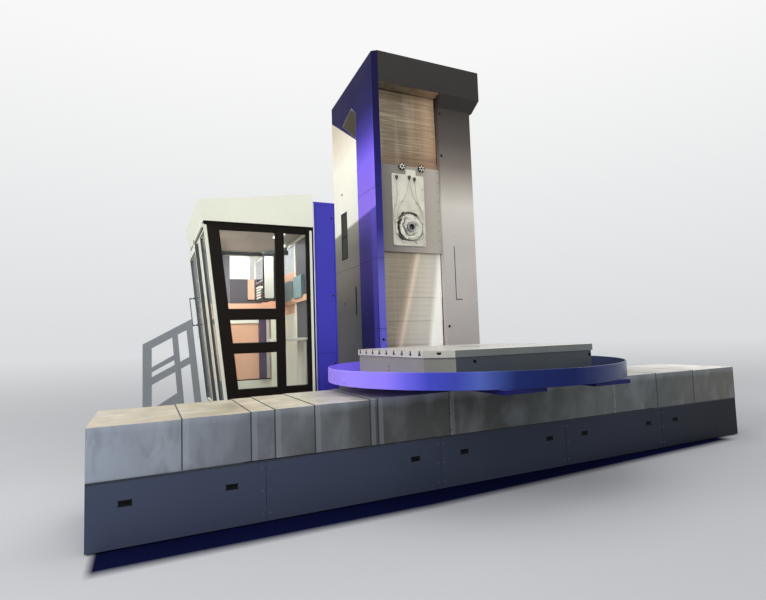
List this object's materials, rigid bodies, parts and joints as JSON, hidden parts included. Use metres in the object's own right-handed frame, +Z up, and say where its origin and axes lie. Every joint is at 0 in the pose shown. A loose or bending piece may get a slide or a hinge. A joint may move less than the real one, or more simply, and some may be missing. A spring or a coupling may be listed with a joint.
{
  "type": "horizontal boring mill",
  "caption": "Travelling-column horizontal boring mill with a rotary T-slot table in a ring guard on covered cross ways, a headstock on a tall column and an operator's cab.",
  "frame": {"origin": "on the floor under the middle of the cross bed", "axes": "+X along the cross bed away from the cab, +Y along the column bed away from the table, +Z up"},
  "size_m": [7.7616, 6.8548, 5.835],
  "materials": {
    "bed_iron": "painted machine grey",
    "bed_panel": "dark slate paint",
    "steel_pad": "zinc plated",
    "screw_steel": "ground",
    "cover_steel": "satin stainless sheet",
    "saddle_iron": "painted machine grey",
    "ring_paint": "gloss blue violet paint",
    "table_iron": "ground grey iron",
    "bearing_steel": "ground",
    "drive_motor": "black paint",
    "column_iron": "painted machine grey",
    "cap_sheet": "dark grey paint",
    "blue_sheet": "blue violet paint",
    "white_sheet": "warm white paint",
    "grey_sheet": "warm grey paint",
    "slat_steel": "satin stainless sheet",
    "headstock_iron": "painted light grey",
    "face_steel": "ground",
    "nose_steel": "ground",
    "knob_plastic": "black",
    "cab_cream": "cream paint",
    "cab_black": "black paint",
    "cab_window": "clear safety glass",
    "cab_peach": "laminated panel",
    "platform_grey": "grey paint",
    "tower_blue": "blue violet paint",
    "pendant_dark": "dark grey paint",
    "button_red": "red"
  },
  "bodies": {
    "base": {"x_bed": "bed_iron", "z_bed": "bed_iron", "bed_panels": "bed_panel", "levelling_pads": "steel_pad", "feed_screws": "screw_steel", "x_cover_left_7": "cover_steel", "x_cover_right_3": "cover_steel", "z_cover_front_1": "cover_steel", "z_cover_rear_3": "cover_steel", "cab_platform": "platform_grey", "cab_front": "cab_black", "cab_shell": "cab_cream", "cab_roof": "cab_cream", "cab_glass": "cab_window", "cab_lining": "cab_peach", "service_tower": "tower_blue"},
    "saddle": {"saddle": "saddle_iron", "saddle_cover": "cover_steel", "x_cover_left_1": "cover_steel", "ring_guard": "ring_paint", "table_bearing": "bearing_steel", "x_drive": "drive_motor"},
    "table": {"table": "table_iron"},
    "cover_left_2": {"x_cover_left_2": "cover_steel"},
    "cover_left_3": {"x_cover_left_3": "cover_steel"},
    "cover_left_4": {"x_cover_left_4": "cover_steel"},
    "cover_left_5": {"x_cover_left_5": "cover_steel"},
    "cover_left_6": {"x_cover_left_6": "cover_steel"},
    "cover_right_1": {"x_cover_right_1": "cover_steel"},
    "cover_right_2": {"x_cover_right_2": "cover_steel"},
    "column": {"column_saddle": "saddle_iron", "column": "column_iron", "column_cap": "cap_sheet", "column_front_cover": "blue_sheet", "column_side_cover": "white_sheet", "column_right_cover": "grey_sheet", "y_screw": "screw_steel", "z_drive": "drive_motor", "z_cover_front_2": "cover_steel", "z_cover_rear_1": "cover_steel", "slat_cover_upper_4": "slat_steel", "slat_cover_lower_4": "slat_steel"},
    "cover_rear_2": {"z_cover_rear_2": "cover_steel"},
    "headstock": {"headstock": "headstock_iron", "face_plate": "face_steel", "spindle_motor": "drive_motor", "slat_cover_upper_1": "slat_steel", "slat_cover_lower_1": "slat_steel"},
    "slats_upper_2": {"slat_cover_upper_2": "slat_steel"},
    "slats_upper_3": {"slat_cover_upper_3": "slat_steel"},
    "slats_lower_2": {"slat_cover_lower_2": "slat_steel"},
    "slats_lower_3": {"slat_cover_lower_3": "slat_steel"},
    "spindle_sleeve": {"spindle_sleeve": "nose_steel"},
    "boring_spindle": {"boring_spindle": "face_steel"},
    "knob_left": {"knob_left": "knob_plastic"},
    "knob_right": {"knob_right": "knob_plastic"},
    "cab_door": {"cab_door": "cab_cream", "cab_door_glass": "cab_window"},
    "control_pendant": {"control_pendant": "pendant_dark"},
    "stop_button": {"stop_button": "button_red"}
  },
  "joints": [
    {"name": "table_x", "type": "slide", "parent": "base", "child": "saddle", "axis": [1, 0, 0], "range_m": [-1.9, 1.6]},
    {"name": "table_turn", "type": "hinge", "parent": "saddle", "child": "table", "pos_m": [-0.096, 0, 1.06], "axis": [0, 0, 1], "continuous": true},
    {"name": "cover_left_2_x", "type": "slide", "parent": "base", "child": "cover_left_2", "axis": [1, 0, 0], "range_m": [-1.8507, 1.5588]},
    {"name": "cover_left_3_x", "type": "slide", "parent": "base", "child": "cover_left_3", "axis": [1, 0, 0], "range_m": [-1.4745, 1.242]},
    {"name": "cover_left_4_x", "type": "slide", "parent": "base", "child": "cover_left_4", "axis": [1, 0, 0], "range_m": [-1.161, 0.978]},
    {"name": "cover_left_5_x", "type": "slide", "parent": "base", "child": "cover_left_5", "axis": [1, 0, 0], "range_m": [-0.99, 0.834]},
    {"name": "cover_left_6_x", "type": "slide", "parent": "base", "child": "cover_left_6", "axis": [1, 0, 0], "range_m": [-0.534, 0.45]},
    {"name": "cover_right_1_x", "type": "slide", "parent": "base", "child": "cover_right_1", "axis": [1, 0, 0], "range_m": [-1.4194, 1.1956]},
    {"name": "cover_right_2_x", "type": "slide", "parent": "base", "child": "cover_right_2", "axis": [1, 0, 0], "range_m": [-0.7544, 0.6356]},
    {"name": "column_z", "type": "slide", "parent": "base", "child": "column", "axis": [0, 1, 0], "range_m": [-0.05, 1.05]},
    {"name": "cover_rear_2_z", "type": "slide", "parent": "base", "child": "cover_rear_2", "axis": [0, 1, 0], "range_m": [-0.027, 0.527]},
    {"name": "headstock_y", "type": "slide", "parent": "column", "child": "headstock", "axis": [0, 0, 1], "range_m": [-1.025, 0.575]},
    {"name": "slats_upper_2_y", "type": "slide", "parent": "column", "child": "slats_upper_2", "axis": [0, 0, 1], "range_m": [-0.6854, 0.3854]},
    {"name": "slats_upper_3_y", "type": "slide", "parent": "column", "child": "slats_upper_3", "axis": [0, 0, 1], "range_m": [-0.3436, 0.1936]},
    {"name": "slats_lower_2_y", "type": "slide", "parent": "column", "child": "slats_lower_2", "axis": [0, 0, 1], "range_m": [-0.6854, 0.3854]},
    {"name": "slats_lower_3_y", "type": "slide", "parent": "column", "child": "slats_lower_3", "axis": [0, 0, 1], "range_m": [-0.3436, 0.1936]},
    {"name": "spindle_turn", "type": "hinge", "parent": "headstock", "child": "spindle_sleeve", "pos_m": [0.18, 1.783, 3.154], "axis": [0, 1, 0], "continuous": true},
    {"name": "spindle_feed", "type": "slide", "parent": "spindle_sleeve", "child": "boring_spindle", "axis": [0, -1, 0], "range_m": [0, 0.8]},
    {"name": "knob_left_turn", "type": "hinge", "parent": "headstock", "child": "knob_left", "pos_m": [0.074, 1.83, 4.102], "axis": [0, 1, 0], "continuous": true},
    {"name": "knob_right_turn", "type": "hinge", "parent": "headstock", "child": "knob_right", "pos_m": [0.416, 1.83, 4.102], "axis": [0, 1, 0], "continuous": true},
    {"name": "cab_door_slide", "type": "slide", "parent": "base", "child": "cab_door", "axis": [0, -1, 0], "range_m": [0, 0.8]},
    {"name": "pendant_swing", "type": "hinge", "parent": "base", "child": "control_pendant", "pos_m": [-1.52, 2.775, 2.95], "axis": [0, 0, 1], "range_deg": [-34, 34]},
    {"name": "stop_button_push", "type": "slide", "parent": "control_pendant", "child": "stop_button", "axis": [1, 0, 0], "range_m": [0, 0.006], "stiffness_N_per_m": 600}
  ],
  "couplings": [
    {"joint": "cover_left_2_x", "follows": "table_x", "ratio": 0.973},
    {"joint": "cover_left_3_x", "follows": "table_x", "ratio": 0.775},
    {"joint": "cover_left_4_x", "follows": "table_x", "ratio": 0.61},
    {"joint": "cover_left_5_x", "follows": "table_x", "ratio": 0.52},
    {"joint": "cover_left_6_x", "follows": "table_x", "ratio": 0.28},
    {"joint": "cover_right_1_x", "follows": "table_x", "ratio": 0.746},
    {"joint": "cover_right_2_x", "follows": "table_x", "ratio": 0.396},
    {"joint": "cover_rear_2_z", "follows": "column_z", "ratio": 0.5},
    {"joint": "slats_upper_2_y", "follows": "headstock_y", "ratio": 0.6667},
    {"joint": "slats_upper_3_y", "follows": "headstock_y", "ratio": 0.3333},
    {"joint": "slats_lower_2_y", "follows": "headstock_y", "ratio": 0.6667},
    {"joint": "slats_lower_3_y", "follows": "headstock_y", "ratio": 0.3333}
  ]
}
